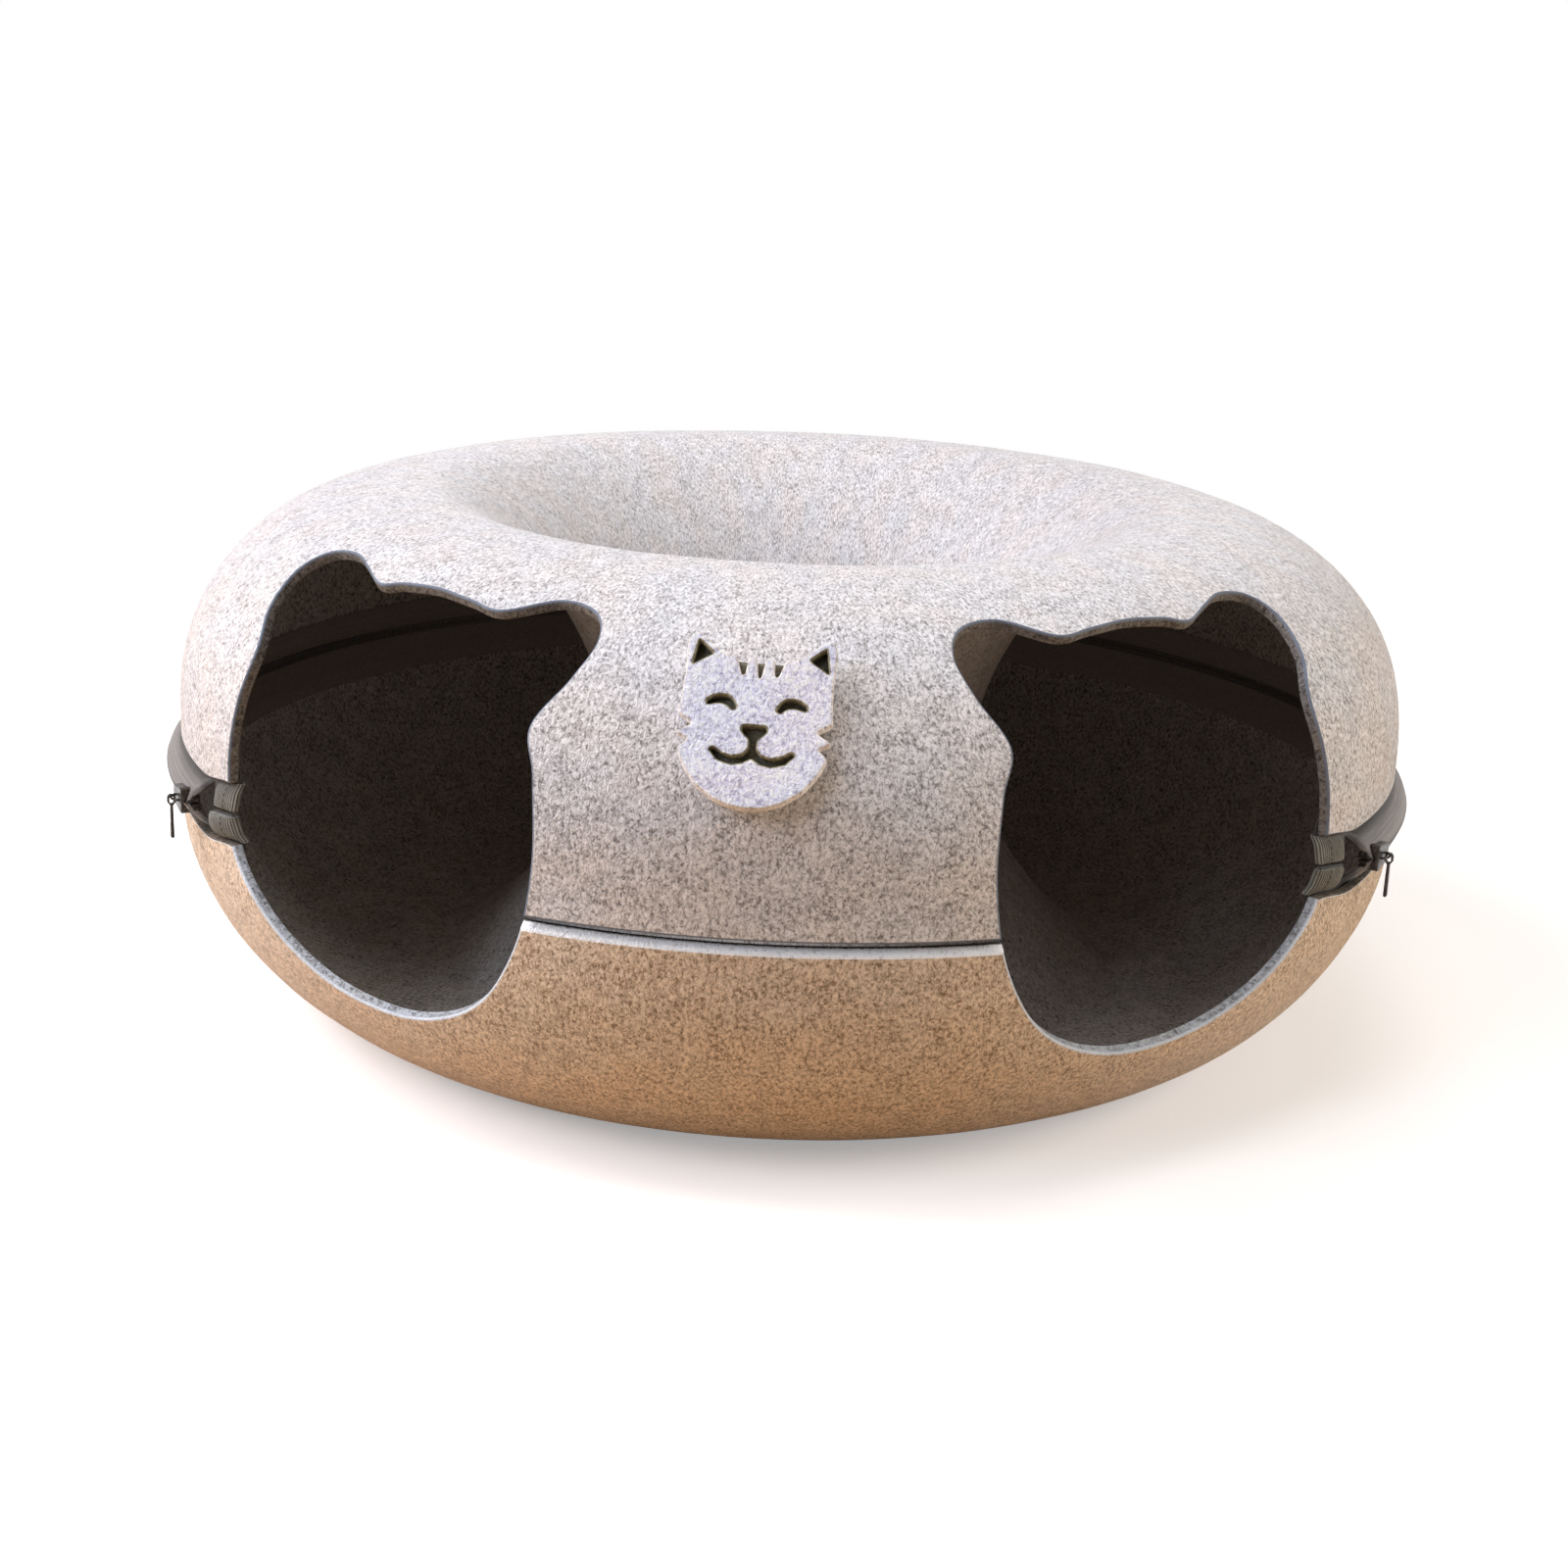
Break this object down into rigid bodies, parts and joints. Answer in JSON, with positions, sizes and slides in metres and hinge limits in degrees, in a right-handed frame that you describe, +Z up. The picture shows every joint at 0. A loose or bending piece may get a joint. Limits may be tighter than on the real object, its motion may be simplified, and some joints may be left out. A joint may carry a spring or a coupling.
{
  "type": "felt cat tunnel",
  "caption": "Ring-shaped felt pet tunnel of two moulded half shells zipped round the outside, with cat-head doorways, a face badge and sliding zip pulls.",
  "frame": {"origin": "on the ring's axis at the level of the floor it rests on", "axes": "+Z up; the front, with the pillar and badge between the two doorways, faces -Y; +X is to the right as seen from the front"},
  "size_m": [0.614, 0.6154, 0.2445],
  "materials": {
    "felt_grey": "pressed needle felt",
    "badge_felt": "pressed needle felt",
    "tape_grey": "woven zip tape",
    "twill_grey": "woven twill tape",
    "coil_dark": "moulded nylon coil",
    "gunmetal": "dark plated die-cast zinc",
    "pad_dark": "hook and loop pad"
  },
  "bodies": {
    "tunnel": {"top_shell": "felt_grey", "bottom_shell": "felt_grey", "hole_seam_tape": "twill_grey", "zip_tape_upper": "tape_grey", "zip_tape_lower": "tape_grey", "zip_coil_upper": "coil_dark", "zip_coil_lower": "coil_dark", "zip_stop_upper_left": "gunmetal", "zip_stop_upper_right": "gunmetal", "zip_stop_lower_left": "gunmetal", "zip_stop_lower_right": "gunmetal", "end_tab_upper_left": "twill_grey", "end_tab_upper_right": "twill_grey", "end_tab_lower_left": "twill_grey", "end_tab_lower_right": "twill_grey", "badge": "badge_felt", "badge_pad": "pad_dark"},
    "slider_left": {"slider_left": "gunmetal"},
    "puller_left": {"puller_left": "gunmetal"},
    "slider_right": {"slider_right": "gunmetal"},
    "puller_right": {"puller_right": "gunmetal"}
  },
  "joints": [
    {"name": "slider_left_travel", "type": "hinge", "parent": "tunnel", "child": "slider_left", "pos_m": [0, 0, 0.117], "axis": [0, 0, 1], "range_deg": [-114, 0]},
    {"name": "puller_left_swing", "type": "hinge", "parent": "slider_left", "child": "puller_left", "pos_m": [-0.27469, -0.14729, 0.117], "axis": [-0.4726, 0.8813, 0], "range_deg": [-8, 165]},
    {"name": "slider_right_travel", "type": "hinge", "parent": "tunnel", "child": "slider_right", "pos_m": [0, 0, 0.117], "axis": [0, 0, 1], "range_deg": [0, 114]},
    {"name": "puller_right_swing", "type": "hinge", "parent": "slider_right", "child": "puller_right", "pos_m": [0.27469, -0.14729, 0.117], "axis": [-0.4726, -0.8813, 0], "range_deg": [-8, 165]}
  ]
}
